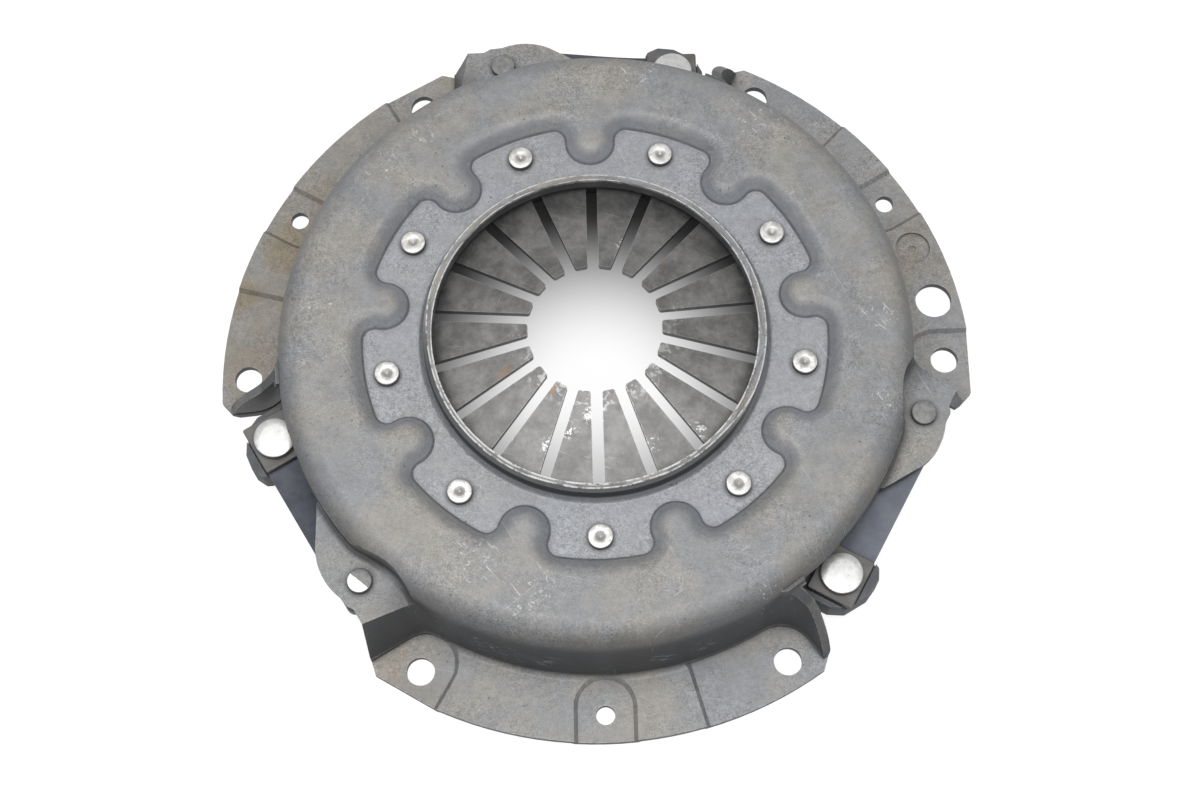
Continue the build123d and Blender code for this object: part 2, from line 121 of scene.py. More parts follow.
class Finish(Nodes):
    def __init__(self, name, metallic, specular=0.5):
        self.material = bpy.data.materials.new(name)
        self.material.use_nodes = True
        super().__init__(self.material.node_tree)
        self.shader = self.tree.nodes["Principled BSDF"]
        self.wear(Metallic=metallic, Specular_IOR_Level=specular)
        self.place = self.node("ShaderNodeTexCoord", out="Object")
        self.normalIn = self.node("ShaderNodeNewGeometry", out="Normal")

    def vector(self, operation, first, second, out=0):
        return self.node("ShaderNodeVectorMath", dict(operation=operation), {0: first, 1: second}, out)

    def axis(self, letter, vector=None):
        # one number of a vector, or of the place on the part
        return self.node("ShaderNodeSeparateXYZ", None, {0: vector or self.place}, letter)

    def noise(self, size, detail, rough, offset=0.0, stretch=None):
        # cloud noise, size in mm of one feature
        place = self.vector("ADD", self.place, (offset,) * 3)
        if stretch:
            place = self.vector("MULTIPLY", place, stretch)
        return self.node("ShaderNodeTexNoise", None, {
            "Vector": place, "Scale": 1.0 / (size * mm), "Detail": detail, "Roughness": rough}, "Fac")

    def cells(self, size, offset):
        # distance to the nearest of scattered points, about size mm apart
        place = self.vector("ADD", self.place, (offset,) * 3)
        return self.node("ShaderNodeTexVoronoi", dict(feature="F1"),
                         {"Vector": place, "Scale": 1.0 / (size * mm)}, "Distance")

    def step(self, value, low, high):
        # 0 below low, 1 above high, smooth between
        return self.node("ShaderNodeMapRange", dict(interpolation_type="SMOOTHSTEP"),
                         {"Value": value, "From Min": low, "From Max": high})

    def mix(self, share, first, second):
        return self.node("ShaderNodeMix", dict(data_type="RGBA"), {0: share, 6: first, 7: second}, 2)

    def tint(self, colour, level):
        # a colour made lighter or darker by a number
        grey = self.node("ShaderNodeCombineXYZ", None, {0: level, 1: level, 2: level})
        return self.vector("MULTIPLY", colour, grey)

    def bump(self, height, distance, strength):
        return self.node("ShaderNodeBump", None, {
            "Height": height, "Distance": distance * mm, "Strength": strength}, "Normal")

    def hollow(self, reach):
        # 0 in the open, more where other surface stands within reach mm
        return 1 - self.node("ShaderNodeAmbientOcclusion", dict(samples=4), {"Distance": reach * mm}, "AO")

    def edges(self, reach):
        # 1 on convex and concave corners within reach mm, 0 on open surface
        soft = self.node("ShaderNodeBevel", dict(samples=4), {"Radius": reach * mm}, "Normal")
        match = self.vector("DOT_PRODUCT", soft, self.normalIn, "Value")
        return self.step(1 - match, 0.02, 0.22)

    def wear(self, **sockets):
        for key, value in sockets.items():
            self.feed(self.shader.inputs[key.replace("_", " ")], value)
        return self.material


def radiusOf(f):
    x, y = f.axis("X"), f.axis("Y")
    return (x * x + y * y) ** 0.5


def together(wires):
    first, *rest = wires
    return sum(rest, first)


markLook = dict(strokeBlur=0.03, dabBlur=0.05, patchCore=0.35)


def stroke(f, angle, length, width, level, offset):
    # straight scratches: cloud noise drawn out along one direction, sizes in mm
    turned = f.node("ShaderNodeVectorRotate", dict(rotation_type="Z_AXIS"),
                    {"Vector": f.place, "Angle": math.radians(angle)})
    drawn = f.node("ShaderNodeVectorMath", dict(operation="MULTIPLY_ADD"),
                   {0: turned, 1: (1 / (length * mm), 1 / (width * mm), 3 / (length * mm)), 2: (offset,) * 3})
    streak = f.node("ShaderNodeTexNoise", None, {"Vector": drawn, "Scale": 1.0, "Detail": 1.0}, "Fac")
    return f.step(streak, level, level + markLook["strokeBlur"])


def strokes(f, kinds):
    return together(stroke(f, *kind) for kind in kinds)


def patches(f, places):
    # 1 in the middle of each place (x, y, z, reach in mm), 0 beyond its reach
    spots = []
    for x, y, z, reach in places:
        away = f.vector("DISTANCE", f.place, (x * mm, y * mm, z * mm), "Value")
        spots.append(1 - f.step(away, markLook["patchCore"] * reach * mm, reach * mm))
    return together(spots)


def dabs(f, size, level, offset):
    return f.step(f.noise(size, 4.0, 0.7, offset), level, level + markLook["dabBlur"])


# the cover's sheet; a zone is the value where a mask starts and the value where it is full
pressed = dict(
    metallic=0.15, gloss=0.35, bumpDepth=0.10, bumpStrength=0.7,
    tones=dict(
        cool=(0.238, 0.246, 0.258), warm=(0.286, 0.274, 0.254), recess=(0.300, 0.311, 0.336),
        stain=(0.222, 0.190, 0.142), grimeAndShade=(0.060, 0.062, 0.066), bright=(0.62, 0.62, 0.61),
        wall=(0.050, 0.055, 0.062), bend=(0.185, 0.202, 0.232), edge=(0.060, 0.063, 0.068),
        lipShade=(0.036, 0.038, 0.042), crease=(0.070, 0.074, 0.082)),
    noises=dict(
        mottle=(30.0, 5.0, 0.62), cloud=(6.0, 4.0, 0.65, 1.7), coarse=(19.0, 3.0, 0.6, 14.0),
        grain=(0.55, 2.0, 0.6, 4.0), speck=(1.7, 3.0, 0.6, 6.0), stain=(24.0, 4.0, 0.6, 7.3),
        pitField=(15.0, 3.0, 0.6, 9.9), streak=(1.0, 4.0, 0.7, 11.0, (0.12, 1.0, 1.0)),
        rubbed=(3.0, 3.0, 0.65, 12.0), ridge=(2.4, 3.0, 0.7, 15.0)),
    zones=dict(
        warm=(0.38, 0.64), coarse=(0.42, 0.62), cloud=(0.25, 0.75), stain=(0.40, 0.66),
        aboveRecess=(0.0345, 0.0375), aboveFlange=(0.006, 0.012), rightSide=(-0.09, -0.02),
        lying=(0.10, 0.70), level=(0.50, 0.97), unbent=(0.80, 0.97), outside=(0.090, 0.096),
        drum=(0.094, 0.098), aboveDrum=(0.026, 0.034), abovePads=(0.0042, 0.0056), sideways=(0.20, 0.45),
        ledgeSlope=(0.50, 0.70), ledgeRadius=(0.1003, 0.1012), ledgeHeight=(0.024, 0.026),
        footStart=(0.00003, 0.00015), footEnd=(0.0004, 0.0011), footCloud=(0.3, 0.7),
        hollow=(0.03, 0.42), nook=(0.12, 0.70), closedIn=(0.1, 0.4), betweenPits=(0.09, 0.16),
        pitField=(0.56, 0.64), streak=(0.55, 0.62), rubbed=(0.40, 0.60), front=(0.0, 0.025),
        lipHeight=(0.0374, 0.0378), lipOuter=(0.0530, 0.0534), lipFoot=(0.0341, 0.0352),
        lipCrown=(0.0386, 0.0396), ridgeHeight=(0.0384, 0.0388), ridgeBreaks=(0.36, 0.55),
        besideLine=(0.00010, 0.00038)),
    shares=dict(
        recess=0.75, slope=0.34, bend=0.35, wall=0.85, edge=0.8, gusset=0.72, pits=0.55, marks=0.82,
        lipShade=0.92, lipInside=0.85, bright=0.8, stainBase=0.30, stainCloud=0.35, stainPunch=0.45,
        stainAll=0.10, footBase=0.45, footCloud=0.3, lines=0.45, scuffs=0.8, dabs=0.9, wallScuffs=0.5,
        hollow=0.74, hollowFlange=0.40, nook=0.66, nookFlange=0.50, rubbed=0.5, rubbedLip=0.4, ridge=0.9,
        coarseBase=0.75, coarse=0.9),
    level=dict(base=0.845, cloud=0.22, grain=0.95, speck=0.5),
    rough=dict(base=0.50, cloud=0.20, grain=0.14, bright=0.16),
    height=dict(grain=0.7, cloud=0.9, pits=1.4, speck=0.8),
    reach=dict(hollow=1.7, nook=5.5, edges=0.7),
    recessFloor=0.0335, recessRadius=0.0742, footRadius=0.088, lipEdge=0.0521, lipInner=0.0522,
    lipRadius=0.0552, lipOuter=0.0557, ridgeFar=0.0544, ridgeShift=-0.0013, frontWay=(-0.3, -0.85),
    punchSides=((109, 40, 3, 22), (-112, 45, 3, 30)),
    gussets=tuple((104 * math.cos(math.radians(a)), 104 * math.sin(math.radians(a)), 18, 15)
                  for k in (0, 120, 240) for a in (k - 56, k - 124)),
    pitCells=(2.9, 2.2), scuffDabs=(1.3, 0.60, 3.3), scuffStroke=(52, 7, 0.5, 0.70, 8.1),
    lines=((63, 26, 0.42, 0.755, 0.7), (-38, 18, 0.38, 0.765, 5.2), (12, 12, 0.4, 0.78, 2.9)),
    scuffs=((-70, 60, 38, 10), (-56, 71, 38, 7), (-37, -73, 38, 13), (-22, -85, 38, 14), (-88, 12, 38, 8),
            (90, -27, 37, 8), (57, 77, 38, 16), (52, -88, 37, 9), (17, 94, 37, 12), (91, 4, 38, 10)),
    wallScuffs=((-40, -95, 15, 9), (-30, -98, 14, 9), (-17, -100, 14, 8), (18, -100, 14, 7),
                (31, -97, 16, 7)))


def pressedSteel():
    f = Finish("pressedSteel", pressed["metallic"], pressed["gloss"])
    tone, share, reach = pressed["tones"], pressed["shares"], pressed["reach"]
    x, y, z, radius, slope = f.axis("X"), f.axis("Y"), f.axis("Z"), radiusOf(f), f.axis("Z", f.normalIn)

    def noise(name):
        return f.noise(*pressed["noises"][name])

    def zone(value, name):
        return f.step(value, *pressed["zones"][name])

    # the rolled sheet: cool and warm clouds, paler in the recess, stained on the flange
    cloud, grain, speck = noise("cloud"), noise("grain"), noise("speck")
    colour = f.mix(zone(noise("mottle"), "warm"), tone["cool"], tone["warm"])
    inRecess = (radius < pressed["recessRadius"]) * (1 - zone(z, "aboveRecess"))
    colour = f.mix(inRecess * share["recess"], colour, tone["recess"])
    onFlange, leftSide = 1 - zone(z, "aboveFlange"), 1 - zone(x, "rightSide")
    stain = zone(noise("stain"), "stain")
    stained = onFlange * leftSide * (share["stainBase"] + share["stainCloud"] * stain)
    stained = stained + stain * (patches(f, pressed["punchSides"]) * share["stainPunch"] + share["stainAll"])
    colour = f.mix(stained, colour, tone["stain"])
    level, coarse = pressed["level"], share["coarseBase"] + share["coarse"] * zone(noise("coarse"), "coarse")
    clouded = level["base"] + level["cloud"] * zone(cloud, "cloud")
    colour = f.tint(colour, clouded + level["grain"] * coarse * (grain - 0.5)
                    + level["speck"] * coarse * (speck - 0.5))

    # painted shade: darker slopes on the shoulder, darker tilted faces inside the drum, and the dark wall of
    # the drum
    upright, outside = 1 - zone(slope, "lying"), zone(radius, "outside")
    colour = f.tint(colour, 1 - share["slope"] * outside * (1 - zone(slope, "level")))
    colour = f.mix((1 - zone(slope, "unbent")) * (1 - outside) * share["bend"], colour, tone["bend"])
    # painted shade on the drum's upright wall, where the drum stands below its top
    drawn = upright * zone(radius, "drum") * (1 - zone(z, "aboveDrum"))
    colour = f.mix(drawn * share["wall"], colour, tone["wall"])

    # painted shade on the sheet's cut edges and on a ledge of the drum, found by the way they face and by
    # their place
    sideways = f.axis("Z", f.vector("CROSS_PRODUCT", f.place, f.normalIn)) / radius
    ledge = zone(slope, "ledgeSlope") * zone(radius, "ledgeRadius") * zone(z, "ledgeHeight")
    cutEdgeShade = zone(sideways * sideways, "sideways") * zone(radius, "drum") * zone(z, "abovePads")
    colour = f.mix(f.step(cutEdgeShade + ledge, 0.0, 1.0) * share["edge"], colour, tone["edge"])

    # painted shade along the recess's foot, at the gussets, and in hollows and nooks; dark pits in the sheet
    hollow, nook = f.hollow(reach["hollow"]), f.hollow(reach["nook"])
    above = z - pressed["recessFloor"]
    foot = zone(above, "footStart") * (1 - zone(above, "footEnd")) * (radius < pressed["footRadius"])
    footShare = share["footBase"] + share["footCloud"] * zone(cloud, "footCloud")
    colour = f.mix(foot * footShare, colour, tone["crease"])
    colour = f.mix(patches(f, pressed["gussets"]) * outside * share["gusset"], colour, tone["grimeAndShade"])
    inHollow = share["hollow"] - share["hollowFlange"] * onFlange
    inNook = share["nook"] - share["nookFlange"] * onFlange
    colour = f.mix(zone(hollow, "hollow") * inHollow, colour, tone["grimeAndShade"])
    colour = f.mix(zone(nook, "nook") * outside * inNook, colour, tone["grimeAndShade"])
    pits = (1 - zone(f.cells(*pressed["pitCells"]), "betweenPits")) * zone(noise("pitField"), "pitField")
    colour = f.mix(pits * share["pits"], colour, tone["grimeAndShade"])

    # bright scratches, scuffs on the shoulder and streaks along the front of the drum
    lines = strokes(f, pressed["lines"]) * share["lines"]
    scraped = dabs(f, *pressed["scuffDabs"]) * share["dabs"] + stroke(f, *pressed["scuffStroke"])
    scuff = patches(f, pressed["scuffs"]) * scraped
    wall = patches(f, pressed["wallScuffs"]) * zone(noise("streak"), "streak") * upright
    marks = f.step(lines + scuff * share["scuffs"] + wall * share["wallScuffs"], 0.0, 1.0)
    colour = f.mix(marks * share["marks"], colour, tone["bright"])

    # the lip: painted shade on its walls, and bright lines on its edges, partly rubbed metal and partly
    # painted highlight
    front = zone(x * pressed["frontWay"][0] + y * pressed["frontWay"][1], "front")
    onLip = zone(z, "lipHeight") * (radius < pressed["lipRadius"])
    lipShade = front * zone(radius, "lipOuter") * (radius < pressed["lipOuter"]) * zone(z, "lipFoot")
    colour = f.mix(lipShade * share["lipShade"], colour, tone["lipShade"])
    lipInside = (radius < pressed["lipInner"]) * (1 - zone(z, "lipCrown"))
    colour = f.mix(lipInside * share["lipInside"], colour, tone["lipShade"])
    # painted highlight along the lip's edges, where they catch the light, broken by noise
    ridges = []
    for line in (pressed["lipEdge"], front * pressed["ridgeShift"] + pressed["ridgeFar"]):
        away = f.node("ShaderNodeMath", dict(operation="ABSOLUTE"), {0: radius - line})
        ridges.append(1 - zone(away, "besideLine"))
    ridge = onLip * together(ridges) * zone(z, "ridgeHeight") * zone(noise("ridge"), "ridgeBreaks")

    rubbed = f.edges(reach["edges"]) * (1 - zone(hollow, "closedIn")) * zone(noise("rubbed"), "rubbed")
    rubbed = rubbed * (share["rubbed"] - share["rubbedLip"] * lipShade)
    bright = f.step(rubbed + ridge * share["ridge"], 0.0, 1.0)
    colour = f.mix(bright * share["bright"], colour, tone["bright"])

    rough, tall = pressed["rough"], pressed["height"]
    dullness = rough["base"] + rough["cloud"] * (cloud - 0.5) + rough["grain"] * (grain - 0.5)
    height = grain * tall["grain"] + cloud * tall["cloud"] - pits * tall["pits"] + speck * tall["speck"]
    return f.wear(Base_Color=colour, Roughness=dullness - rough["bright"] * bright,
                  Normal=f.bump(height, pressed["bumpDepth"], pressed["bumpStrength"]))


spring = dict(
    metallic=0.6, bumpDepth=0.05, bumpStrength=0.6, rough=dict(base=0.44, cloud=0.2, grain=0.2, bright=0.14),
    dark=(0.106, 0.104, 0.102), light=(0.194, 0.190, 0.186), rust=(0.20, 0.115, 0.060),
    shine=(0.62, 0.62, 0.61),
    wearAndSheenSide=(-0.006, 0.010), tipRadius=(0.0255, 0.0300), tipCloud=(0.50, 0.62), rustDabs=(1.6, 0.45, 8.0),
    spotDabs=(1.5, 0.52, 2.0),
    shares=dict(rust=0.75, tips=0.35, spots=0.75, lines=0.30, edges=0.45, bright=0.85),
    lines=((20, 9, 0.4, 0.74, 1.3), (-70, 12, 0.4, 0.75, 4.1)),
    shinySpots=((-1, -29, 39, 5), (-9, -33, 38, 5), (32, -34, 36, 6), (18, -38, 37, 5), (-16, -38, 37, 5),
                (27, 5, 39, 4), (10, 30, 38, 4)),
    rustSpots=((-15, -19, 39, 4), (-29, -14, 38, 4), (22, 24, 38, 3), (-40, 20, 36, 3)))


def springSteel():
    f = Finish("springSteel", spring["metallic"])
    share, rough = spring["shares"], spring["rough"]
    cloud = f.noise(8.0, 4.0, 0.65)
    grain, speck = f.noise(0.45, 2.0, 0.6, 3.0), f.noise(1.5, 3.0, 0.6, 9.0)
    colour = f.mix(f.step(cloud, 0.3, 0.7), spring["dark"], spring["light"])
    colour = f.tint(colour, 0.86 + 0.5 * (grain - 0.5) + 0.5 * (speck - 0.4))
    rust = patches(f, spring["rustSpots"]) * dabs(f, *spring["rustDabs"])
    colour = f.mix(f.step(rust, 0.0, 1.0) * share["rust"], colour, spring["rust"])
    # the tips are worn bright; their greater brightness on the near side is painted highlight
    wearAndSheen = 0.25 + 0.75 * (1 - f.step(f.axis("Y"), *spring["wearAndSheenSide"]))
    tips = 1 - f.step(radiusOf(f), *spring["tipRadius"])
    tips = tips * f.step(f.noise(2.0, 3.0, 0.6, 5.0), *spring["tipCloud"]) * share["tips"] * wearAndSheen
    spots = patches(f, spring["shinySpots"]) * dabs(f, *spring["spotDabs"])
    lines = strokes(f, spring["lines"])
    bright = tips + spots * share["spots"] + lines * share["lines"] + f.edges(0.4) * share["edges"]
    bright = f.step(bright, 0.0, 1.0)
    colour = f.mix(bright * share["bright"], colour, spring["shine"])
    dullness = rough["base"] + rough["cloud"] * (cloud - 0.5) + rough["grain"] * (grain - 0.5)
    height = grain + cloud * 0.6 + speck * 0.5
    return f.wear(Base_Color=colour, Roughness=dullness - bright * rough["bright"],
                  Normal=f.bump(height, spring["bumpDepth"], spring["bumpStrength"]))


rivetLook = dict(
    zincRivet=dict(tones=((0.35, 0.345, 0.33), (0.58, 0.575, 0.56)), metallic=0.75, rough=0.36,
                   dirtAndShadeShare=0.75, bumpDepth=0.12),
    brightRivet=dict(tones=((0.44, 0.44, 0.437), (0.55, 0.547, 0.54)), metallic=0.55, rough=0.26,
                     dirtAndShadeShare=0.35, bumpDepth=0.04),
    dullRivet=dict(tones=((0.15, 0.15, 0.15), (0.25, 0.25, 0.245)), metallic=0.35, rough=0.50,
                   dirtAndShadeShare=0.6, bumpDepth=0.07),
    dirtAndShade=(0.09, 0.085, 0.08), dark=(0.045, 0.045, 0.047), upright=(0.15, 0.55), flat=(0.90, 0.97),
    dimpleBelow=pressed["recessFloor"] + 0.00195, dimpleBlur=0.0004, dimpleShare=0.30,
    glint=(0.95, 0.95, 0.95), glintSide=(-0.64, -0.77, 0.0), glintFrom=0.1074, glintBlur=0.0002)


def rivetSteel(name):
    look = rivetLook[name]
    f = Finish(name, look["metallic"])
    cloud, grain = f.noise(2.3, 4.0, 0.65), f.noise(0.35, 2.0, 0.6, 2.0)
    colour = f.tint(f.mix(f.step(cloud, 0.32, 0.68), *look["tones"]), 0.9 + 0.5 * (grain - 0.4))
    # dirt and painted shade: darker in hollows round the heads and on their corners
    corners = f.edges(0.6) * f.step(f.noise(1.1, 2.0, 0.5, 4.0), 0.35, 0.6) * 0.7
    dirtAndShade = f.step(f.hollow(1.8), 0.10, 0.75) + corners
    colour = f.mix(f.step(dirtAndShade, 0.0, 1.0) * look["dirtAndShadeShare"], colour, rivetLook["dirtAndShade"])
    specks = (1 - f.step(f.cells(1.5, 1.0), 0.10, 0.2)) * f.step(f.noise(4.0, 2.0, 0.5, 6.0), 0.52, 0.62)
    colour = f.mix(specks * 0.6, colour, rivetLook["dirtAndShade"])
    slope = f.axis("Z", f.normalIn)
    # painted shade on the upright sides of the heads
    colour = f.mix((1 - f.step(slope, *rivetLook["upright"])) * 0.75, colour, rivetLook["dark"])
    if name == "zincRivet":
        below = rivetLook["dimpleBelow"]
        sunk = (1 - f.step(f.axis("Z"), below - rivetLook["dimpleBlur"], below)) * f.step(cloud, 0.25, 0.55)
        colour = f.mix(sunk * rivetLook["dimpleShare"], colour, rivetLook["dirtAndShade"])
    if name == "dullRivet":
        # painted reflection: the outer part of the left front head shows the lamp as a bright glint
        start = rivetLook["glintFrom"]
        along = f.vector("DOT_PRODUCT", f.place, rivetLook["glintSide"], "Value") + 0.001 * (cloud - 0.5)
        glintMask = f.step(along, start, start + rivetLook["glintBlur"]) * f.step(slope, *rivetLook["flat"])
        colour = f.mix(glintMask, colour, rivetLook["glint"])
    return f.wear(Base_Color=colour, Roughness=look["rough"] - 0.06 + 0.24 * cloud,
                  Normal=f.bump(cloud + grain * 0.5, look["bumpDepth"], 0.6))


iron = dict(
    metallic=0.25, gloss=0.35, bumpDepth=0.16, bumpStrength=0.6, rough=0.60, groundShine=0.28,
    dark=(0.075, 0.080, 0.088), light=(0.125, 0.128, 0.132), ground=(0.42, 0.42, 0.415),
    rubbed=(0.34, 0.34, 0.34), aboveFace=(0.00292, 0.00300), ringsPerMetre=2600.0)


def castIron():
    f = Finish("castIron", iron["metallic"], iron["gloss"])
    sand, cloud = f.noise(0.9, 4.0, 0.7), f.noise(12.0, 4.0, 0.6, 2.0)
    colour = f.tint(f.mix(f.step(cloud, 0.3, 0.7), iron["dark"], iron["light"]), 0.75 + 0.5 * sand)
    ground = 1 - f.step(f.axis("Z"), *iron["aboveFace"])  # the friction face, ground in rings
    rings = f.node("ShaderNodeTexNoise", dict(noise_dimensions="1D"),
                   {"W": radiusOf(f), "Scale": iron["ringsPerMetre"], "Detail": 3.0}, "Fac")
    colour = f.mix(ground, colour, f.tint(iron["ground"], 0.75 + 0.5 * rings))
    colour = f.mix(f.edges(0.8) * f.step(sand, 0.4, 0.6) * 0.35, colour, iron["rubbed"])
    height = (1 - ground) * (sand + 0.4 * cloud) + ground * rings * 0.15
    dullness = iron["rough"] + 0.2 * (sand - 0.5) - ground * iron["groundShine"]
    return f.wear(Base_Color=colour, Roughness=dullness,
                  Normal=f.bump(height, iron["bumpDepth"], iron["bumpStrength"]))


rolled = dict(
    fulcrumWire=dict(dark=(0.22, 0.22, 0.23), light=(0.36, 0.36, 0.37), rough=0.35, metallic=0.7),
    clampSteel=dict(dark=(0.080, 0.077, 0.073), light=(0.140, 0.136, 0.130), rough=0.5, metallic=0.35),
    strapSteel=dict(dark=(0.042, 0.047, 0.060), light=(0.078, 0.084, 0.102), rough=0.40, metallic=0.45),
    gloss=0.4, lines=((30, 8, 0.4, 0.74, 2.4),), palerBy=2.6, bumpDepth=0.04, bumpStrength=0.5)


def rolledSteel(name):
    # strip or wire: soft clouds, light scuffs and pale edges
    look = rolled[name]
    f = Finish(name, look["metallic"], rolled["gloss"])
    cloud, grain = f.noise(8.0, 4.0, 0.6), f.noise(0.4, 2.0, 0.5, 2.0)
    colour = f.tint(f.mix(f.step(cloud, 0.3, 0.7), look["dark"], look["light"]), 0.85 + 0.3 * grain)
    scuff = strokes(f, rolled["lines"]) + dabs(f, 2.0, 0.70, 5.0)
    bright = f.step(scuff * 0.4 + f.edges(0.4) * 0.5, 0.0, 1.0)
    colour = f.mix(bright * 0.6, colour, tuple(min(1.0, c * rolled["palerBy"]) for c in look["light"]))
    return f.wear(Base_Color=colour, Roughness=look["rough"] - 0.08 + 0.2 * cloud,
                  Normal=f.bump(grain + cloud, rolled["bumpDepth"], rolled["bumpStrength"]))


finishes = {
    "pressed_steel": pressedSteel(),
    "spring_steel": springSteel(),
    "zinc_rivet": rivetSteel("zincRivet"),
    "bright_rivet": rivetSteel("brightRivet"),
    "dull_rivet": rivetSteel("dullRivet"),
    "cast_iron": castIron(),
    "fulcrum_wire": rolledSteel("fulcrumWire"),
    "clamp_steel": rolledSteel("clampSteel"),
    "strap_steel": rolledSteel("strapSteel"),
}
print("finishes made:", len(finishes))


# meshes
def newPiece(name, bm, slot, body, nodes, sharpAngle=35.0):
    for face in bm.faces:
        face.smooth = True
    for edge in bm.edges:
        edge.smooth = edge.calc_face_angle(0.0) < math.radians(sharpAngle)
    mesh = bpy.data.meshes.new(name)
    bm.to_mesh(mesh)
    bm.free()
    piece = bpy.data.objects.new(name, mesh)
    bpy.context.scene.collection.objects.link(piece)
    mesh.materials.append(finishes[slot])
    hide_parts(*nodes)
    if body:
        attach(piece, body)
    return piece


softening = dict(segments=2, angle=38.0, normalWeight=80)


def softenEdges(piece, width):
    bevel = piece.modifiers.new("edges", "BEVEL")
    bevel.width = width * mm
    bevel.segments = softening["segments"]
    bevel.limit_method = "ANGLE"
    bevel.angle_limit = math.radians(softening["angle"])
    bevel.harden_normals = True
    shade = piece.modifiers.new("normals", "WEIGHTED_NORMAL")
    shade.keep_sharp = True
    shade.weight = softening["normalWeight"]


def cadShape(node):
    # the node's own surface with its face seams closed
    bm = bmesh.new()
    bm.from_mesh(frame["nodes"][node].data)
    bmesh.ops.remove_doubles(bm, verts=bm.verts, dist=2e-6)
    bmesh.ops.dissolve_limit(bm, angle_limit=math.radians(0.05), verts=bm.verts, edges=bm.edges)
    return bm


def turned(profile, count, centre=(0.0, 0.0)):
    # a lathe-turned solid from (radius, height) pairs; a radius of 0 is a point on the axis
    bm = bmesh.new()
    rows = []
    for radius, height in profile:
        if radius == 0:
            rows.append([bm.verts.new((centre[0], centre[1], height))])
            continue
        rows.append([bm.verts.new((centre[0] + radius * math.cos(2 * math.pi * i / count),
                                   centre[1] + radius * math.sin(2 * math.pi * i / count), height))
                     for i in range(count)])
    for low, high in zip(rows, rows[1:]):
        for i in range(count):
            j = (i + 1) % count
            ring = [low[i % len(low)], low[j % len(low)], high[j % len(high)], high[i % len(high)]]
            bm.faces.new(list(dict.fromkeys(ring)))
    bmesh.ops.recalc_face_normals(bm, faces=bm.faces)
    return bm


def arc(centre, radius, first, last, steps):
    # points of a round corner in a profile, angles in degrees
    return [(centre[0] + radius * math.cos(math.radians(first + (last - first) * i / steps)),
             centre[1] + radius * math.sin(math.radians(first + (last - first) * i / steps)))
            for i in range(steps + 1)]


record = frame["record"]
bodyOf = {node: body for body, members in record["behaviour"]["bodies"].items() for node in members}
slotOf = {row["node"]: row["material_slot"] for row in record["subparts"]}


def nodesNamed(start):
    return sorted(node for node in frame["nodes"] if node.startswith(start))


def centreOf(node):
    low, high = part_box(node)
    return (low + high) / 2


# cover, plate and spring keep the CAD surface, with softened edges
dressed = dict(cover=0.25, pressure_plate=0.5, diaphragm_band=0.2, diaphragm_finger=0.28)
rim = dict(radius=0.0546, fall=1.3 * mm, heightRoom=1e-5, radiusRoom=1e-4)


def dropRim(skin, top):
    # the lip's edge falls outwards
    for vertex in skin.verts:
        atTop = abs(vertex.co.z - top) < rim["heightRoom"]
        if atTop and abs(vertex.co.xy.length - rim["radius"]) < rim["radiusRoom"]:
            vertex.co.z -= rim["fall"]


for start, width in dressed.items():
    for node in nodesNamed(start):
        skin = cadShape(node)
        if node == "cover":
            dropRim(skin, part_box(node)[1].z)
        piece = newPiece(node + "Skin", skin, slotOf[node], bodyOf[node], [node])
        softenEdges(piece, width)
        if node == "diaphragm_band":
            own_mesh(piece)
print("pressed, cast and spring pieces made")

# wire rings, thinner than the solids by the room that a tilted finger needs
wireRing = dict(tiltRoom=0.16 * mm, sectionSteps=24, around=160)
for node in nodesNamed("upper_fulcrum") + nodesNamed("lower_fulcrum"):
    low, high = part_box(node)
    wire = (high.z - low.z) / 2
    middle = (high.x - wire, low.z + wire)
    section = arc(middle, wire - wireRing["tiltRoom"], 0, 360, wireRing["sectionSteps"])
    bm = turned(section, wireRing["around"])
    bmesh.ops.remove_doubles(bm, verts=bm.verts, dist=1e-6)
    newPiece(node + "Wire", bm, slotOf[node], bodyOf[node], [node])

# rivets, sizes in mm: a head on top, a shank, and a set tail below
rivetKinds = dict(
    diaphragm_rivet=dict(head=4.0, headHeight=2.0, shank=2.5, tail=6.0, tailHeight=2.5, edge=0.45,
                         dimple=1.6, crown=0.05),
    lug_rivet=dict(head=6.75, headHeight=2.6, shank=4.0, tail=6.0, tailHeight=2.6, edge=0.45,
                   dimple=0.0, crown=0.12),
    ear_rivet=dict(head=4.0, headHeight=1.9, shank=2.7, tail=4.0, tailHeight=1.8, edge=0.5,
                   dimple=0.0, crown=0.15))
rivetForm = dict(around=48, roundTo=80, roundSteps=4, dimpleRim=0.3 * mm, dimpleStep=0.10 * mm,
                 dimpleNarrow=0.3, dimpleWall=0.95 * mm, dimpleDepth=1.15 * mm, flatShare=0.6,
                 flatDrop=0.03 * mm, sharpAngle=50)


def rivetProfile(size, bottom, top):
    foot, seat, edge = bottom + size["tailHeight"], top - size["headHeight"], size["edge"]
    roundTo, steps = rivetForm["roundTo"], rivetForm["roundSteps"]
    profile = [(0, bottom), (size["tail"] - edge, bottom)]
    profile += arc((size["tail"] - edge, bottom + edge), edge, -roundTo, 0, steps)
    profile += [(size["tail"], foot), (size["shank"], foot), (size["shank"], seat), (size["head"], seat)]
    profile += arc((size["head"] - edge, top - size["crown"] - edge), edge, 0, roundTo, steps)
    if size["dimple"]:
        return profile + [(size["dimple"] + rivetForm["dimpleRim"], top),
                          (size["dimple"], top - rivetForm["dimpleStep"]),
                          (size["dimple"] * rivetForm["dimpleNarrow"], top - rivetForm["dimpleWall"]),
                          (0, top - rivetForm["dimpleDepth"])]
    return profile + [(size["head"] * rivetForm["flatShare"], top - rivetForm["flatDrop"]), (0, top)]


